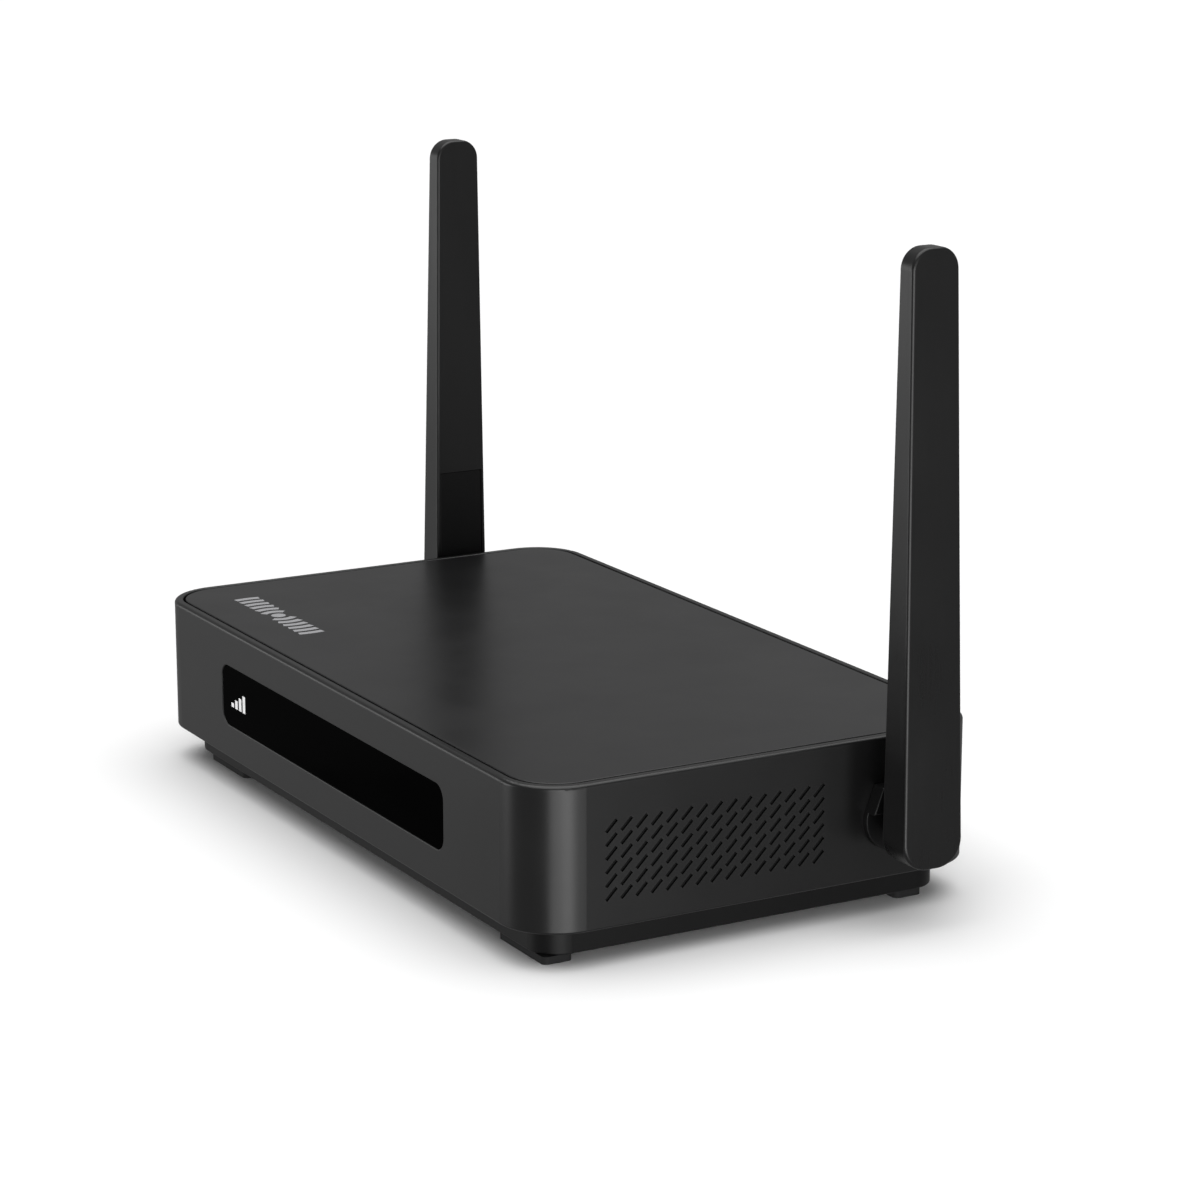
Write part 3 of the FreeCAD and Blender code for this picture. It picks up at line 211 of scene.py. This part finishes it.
def finish_nodes():
    """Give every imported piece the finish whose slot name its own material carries."""
    finishes = {
        "housing_plastic": make_plastic("satin_black_housing", 0.003, 0.31),
        "lid_plastic": make_plastic("satin_black_lid", 0.003, 0.33, blue=1.12, depth=0.001 * MM),
        "tray_plastic": make_plastic("matt_black_tray", 0.003, 0.42, specular=0.22),
        "foot_rubber": make_plastic("foot_rubber", 0.010, 0.75, grain=0.4 * MM, depth=0.02 * MM,
                                    specular=0.3),
        "window_gloss": make_window_gloss("window_gloss"),
        "antenna_plastic": make_plastic("satin_black_antenna", 0.003, 0.31, streak=(1, 1, 40)),
        "hinge_plastic": make_plastic("hinge_plastic", 0.003, 0.4, specular=0.25),
        "screw_steel": make_metal("screw_steel", (0.30, 0.30, 0.31), 0.35),
        "shield_steel": make_metal("shield_steel", (0.62, 0.62, 0.60), 0.30, (20, 1, 1)),
        "sink_aluminium": make_metal("sink_aluminium", (0.55, 0.56, 0.58), 0.38, (1, 20, 1)),
        "board_laminate": make_plastic("board_laminate", 0.02, 0.35, wear_and_highlight_amount=0.1),
        "chip_plastic": make_plastic("chip_plastic", 0.02, 0.55),
        "thermal_rubber": make_plastic("thermal_rubber", 0.25, 0.8, wear_and_highlight_amount=0.1),
        "lamp_plastic": make_plastic("lamp_plastic", 0.75, 0.3, wear_and_highlight_amount=0.0),
        "jack_plastic": make_plastic("jack_plastic", 0.012, 0.42),
        "button_plastic": make_plastic("button_plastic", 0.014, 0.35),
        "lead_jacket": make_plastic("lead_jacket", 0.015, 0.45),
    }
    for obj in [item for item in bpy.data.objects if item.type == "MESH"]:
        for index, slot in enumerate(obj.material_slots):
            if slot.material is None:
                continue
            for key, finish in finishes.items():
                if key in slot.material.name:
                    obj.material_slots[index].material = finish


# ---------------------------------------------------------------- printed marks and small parts

def new_piece(name, mesh_data, material, body):
    mesh = bpy.data.meshes.new(name)
    mesh_data.normal_update()
    mesh_data.to_mesh(mesh)
    mesh_data.free()
    piece = bpy.data.objects.new(name, mesh)
    scene.collection.objects.link(piece)
    mesh.materials.append(material)
    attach(piece, body)
    return piece


def add_slab(mesh_data, outline, origin, across, upwards, low, high):
    """A closed slab: an outline along `across` and `upwards`, from `low` to `high` along their normal."""
    normal = across.cross(upwards)
    rings = []
    for level in (low, high):
        rings.append([mesh_data.verts.new(origin + across * u + upwards * v + normal * level)
                      for u, v in outline])
    bottom, top = rings
    count = len(outline)
    mesh_data.faces.new(reversed(bottom))
    mesh_data.faces.new(top)
    for index in range(count):
        following = (index + 1) % count
        mesh_data.faces.new((bottom[index], bottom[following], top[following], top[index]))


def add_ring_part(mesh_data, inner, outer, start, stop, steps, origin, across, upwards, low, high):
    """A closed slab between two radii and two angles, made of quads."""
    normal = across.cross(upwards)
    rows = []
    for step in range(steps + 1):
        angle = start + (stop - start) * step / steps
        row = []
        for radius, level in ((inner, low), (outer, low), (outer, high), (inner, high)):
            place = across * (radius * math.cos(angle)) + upwards * (radius * math.sin(angle))
            row.append(mesh_data.verts.new(origin + place + normal * level))
        rows.append(row)
    for before, after in zip(rows, rows[1:]):
        for side in range(4):
            following = (side + 1) % 4
            mesh_data.faces.new((before[side], before[following], after[following], after[side]))
    mesh_data.faces.new(reversed(rows[0]))
    mesh_data.faces.new(rows[-1])


def disc_outline(radius, points=32):
    return [(radius * math.cos(2 * math.pi * n / points), radius * math.sin(2 * math.pi * n / points))
            for n in range(points)]


def add_lid_mark():
    """A generic printed symbol near the lid's front left corner: a dot with arcs on both sides."""
    inset_x, inset_y = 25.55 * MM, 10.65 * MM
    half_height, half_width = 2.6 * MM, 17.4 * MM
    stroke, pitch, arc_share, arc_steps = 1.35 * MM, 2.3 * MM, 0.96, 16
    low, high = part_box("top_cover_panel")
    centre = Vector((low.x + inset_x, low.y + inset_y, high.z))
    across, upwards = Vector((1, 0, 0)), Vector((0, 1, 0))
    mesh_data = bmesh.new()
    add_slab(mesh_data, disc_outline(stroke), centre, across, upwards, INK_SUNK, INK_PROUD)
    outer = pitch + stroke
    while outer <= half_width:
        sweep = math.asin(min(1.0, half_height / outer) * arc_share)
        for middle in (0, math.pi):
            add_ring_part(mesh_data, outer - stroke, outer, middle - sweep, middle + sweep, arc_steps,
                          centre, across, upwards, INK_SUNK, INK_PROUD)
        outer += pitch
    new_piece("lid_symbol", mesh_data, make_ink("silver_ink", (0.34, 0.34, 0.35), 0.45),
              "chassis")


def add_window_mark():
    """Four rising bars printed on the window, a generic sign for signal strength."""
    inset_x, inset_z = 3.9 * MM, 3.75 * MM
    width, pitch, tallest, bars = 1.1 * MM, 1.7 * MM, 3.2 * MM, 4
    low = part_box("display_window")[0]
    corner = Vector((low.x + inset_x, low.y, low.z + inset_z))
    across, upwards = Vector((1, 0, 0)), Vector((0, 0, 1))
    mesh_data = bmesh.new()
    for bar in range(bars):
        left = pitch * bar
        top = tallest * (bar + 1) / bars
        outline = [(left, 0), (left + width, 0), (left + width, top), (left, top)]
        add_slab(mesh_data, outline, corner, across, upwards, INK_SUNK, INK_PROUD)
    new_piece("window_symbol", mesh_data, make_ink("white_ink", (0.92, 0.92, 0.92), 0.5),
              "chassis")


def add_contacts(name, node, count, pitch, width, outline, start, material):
    """A row of spring contacts in a rear socket; `outline` is (inwards, up) from the start point."""
    low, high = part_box(node)
    inset, height = start
    inwards, upwards = Vector((0, -1, 0)), Vector((0, 0, 1))
    mesh_data = bmesh.new()
    for index in range(count):
        place = (low.x + high.x) / 2 + (index - (count - 1) / 2) * pitch
        origin = Vector((place + width / 2, high.y - inset, low.z + height))
        add_slab(mesh_data, outline, origin, inwards, upwards, 0, width)
    new_piece(name, mesh_data, material, "chassis")


def add_socket_details():
    """Gilded contacts in the network socket and on the picture socket's tongue."""
    gold = make_metal("gold_contact", (0.80, 0.58, 0.22), 0.25)
    wire, slope_end, end, fall = 0.3 * MM, 7 * MM, 9 * MM, 2.9 * MM
    lift = 0.1 * MM
    sloping = [(0, -wire), (slope_end, -fall), (end, -fall), (end, wire - fall),
               (slope_end + lift, wire - fall), (lift, 0)]
    add_contacts("network_contacts", "ethernet_socket", 8, 1.02 * MM, 0.45 * MM, sloping,
                 (1.6 * MM, 11.5 * MM), gold)
    film, length = 0.06 * MM, 6 * MM
    straight = [(0, -film), (length, -film), (length, film), (0, film)]
    add_contacts("picture_contacts", "picture_sound_socket", 10, 1.0 * MM, 0.4 * MM, straight,
                 (1.9 * MM, 3.6 * MM), gold)


def add_vent_filters():
    """Foam dust filters whose ribs fill the side vents from behind, a little under the wall's face."""
    foam = make_plastic("filter_foam", 0.009, 0.9, blue=1.0, grain=0.15 * MM, depth=0.03 * MM, wear_and_highlight_amount=0.0,
                        specular=0.1)
    low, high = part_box("upper_housing")
    outline = [(-FILTER_HALF_LENGTH, -FILTER_HALF_WIDTH), (FILTER_HALF_LENGTH, -FILTER_HALF_WIDTH),
               (FILTER_HALF_LENGTH, FILTER_HALF_WIDTH), (-FILTER_HALF_LENGTH, FILTER_HALF_WIDTH)]
    slope = math.sqrt(0.5)
    along, over = Vector((0, slope, slope)), Vector((0, -slope, slope))
    for side, wall, inner, outer in (("left", low.x, FILTER_SUNK, FILTER_REACH),
                                     ("right", high.x, -FILTER_REACH, -FILTER_SUNK)):
        mesh_data = bmesh.new()
        for column in range(VENT_COLUMNS):
            for row in range(VENT_ROWS):
                origin = Vector((wall, VENT_FIRST_Y + column * VENT_PITCH, VENT_FIRST_Z + row * VENT_RISE))
                add_slab(mesh_data, outline, origin, along, over, inner, outer)
        new_piece(side + "_vent_filter", mesh_data, foam, "chassis")


# ---------------------------------------------------------------- camera, light, floor

def add_camera():
    """The camera stands front right of the box and a little above it, looking slightly down."""
    data = bpy.data.cameras.new("camera")
    data.lens = CAMERA_LENS
    data.sensor_width = CAMERA_SENSOR
    camera = bpy.data.objects.new("camera", data)
    scene.collection.objects.link(camera)
    bearing = math.radians(CAMERA_BEARING)
    elevation = math.radians(CAMERA_ELEVATION)
    back = Vector((math.sin(bearing) * math.cos(elevation),
                   -math.cos(bearing) * math.cos(elevation),
                   math.sin(elevation)))
    right = Vector((math.cos(bearing), math.sin(bearing), 0.0))
    turn = Matrix((right, back.cross(right), back)).transposed().to_4x4()
    camera.matrix_world = Matrix.Translation(CAMERA_TARGET + back * CAMERA_DISTANCE) @ turn
    scene.camera = camera


# Upright soft panels: name, bearing from the front towards the right (degrees), distance, height of
# the middle, width and tallness (metres), power (watts). Some reach below the floor's level, because
# the walls of the box mirror what lies below the horizon.
PANELS = [
    ("corner_panel_left", 62, 0.42, 0.0, 0.13, 0.3, 0.3),
    ("corner_panel", 80, 0.42, 0.0, 0.13, 0.3, 0.45),
    ("corner_panel_right", 98, 0.42, 0.0, 0.13, 0.3, 0.15),
    ("front_low_panel", 305, 0.9, -0.15, 0.4, 0.2, 0.04),
    ("front_high_panel", 305, 0.9, 0.1, 0.4, 0.3, 0.5),
    ("front_left_panel", 330, 0.9, -0.02, 0.3, 0.36, 0.95),
    ("back_left_panel", 225, 1.1, 0.26, 0.4, 0.5, 0.025),
]


def add_panel(name, bearing, distance, height, width, tall, power):
    """An upright soft panel that faces the object."""
    data = bpy.data.lights.new(name, "AREA")
    data.shape = "RECTANGLE"
    data.size = width
    data.size_y = tall
    data.energy = power
    light = bpy.data.objects.new(name, data)
    scene.collection.objects.link(light)
    angle = math.radians(bearing)
    outward = Vector((math.sin(angle), -math.cos(angle), 0.0))
    upright = Vector((0, 0, 1))
    turn = Matrix((upright.cross(outward), upright, outward)).transposed().to_4x4()
    light.matrix_world = Matrix.Translation(outward * distance + upright * height) @ turn
    light.visible_camera = False


def add_dome():
    """Broad soft light from straight above."""
    data = bpy.data.lights.new("dome", "SUN")
    data.energy = DOME_POWER
    data.angle = DOME_ANGLE
    light = bpy.data.objects.new("dome", data)
    scene.collection.objects.link(light)
    light.location = (0, 0, 1)


def add_world():
    """Even white surroundings."""
    world = bpy.data.worlds.new("studio")
    scene.world = world
    world.use_nodes = True
    background = world.node_tree.nodes["Background"]
    background.inputs["Color"].default_value = (1.0, 1.0, 1.0, 1.0)
    background.inputs["Strength"].default_value = WORLD_STRENGTH


def add_floor():
    """A pale sheet. It isn't mirrored in the box and doesn't block the panels that reach below it."""
    mesh = bpy.data.meshes.new("floor")
    corners = [(-FLOOR_HALF, -FLOOR_HALF, 0), (FLOOR_HALF, -FLOOR_HALF, 0),
               (FLOOR_HALF, FLOOR_HALF, 0), (-FLOOR_HALF, FLOOR_HALF, 0)]
    mesh.from_pydata(corners, [], [(0, 1, 2, 3)])
    floor = bpy.data.objects.new("floor", mesh)
    scene.collection.objects.link(floor)
    material, _, shader = new_material("floor_paper")
    shader.inputs["Base Color"].default_value = grey(FLOOR_WHITE)
    shader.inputs["Roughness"].default_value = FLOOR_ROUGHNESS
    mesh.materials.append(material)
    floor.visible_glossy = False
    floor.visible_shadow = False


finish_nodes()
add_lid_mark()
add_window_mark()
add_socket_details()
add_vent_filters()
add_camera()
for panel in PANELS:
    add_panel(*panel)
add_dome()
add_world()
add_floor()
scene.view_settings.view_transform = "Standard"
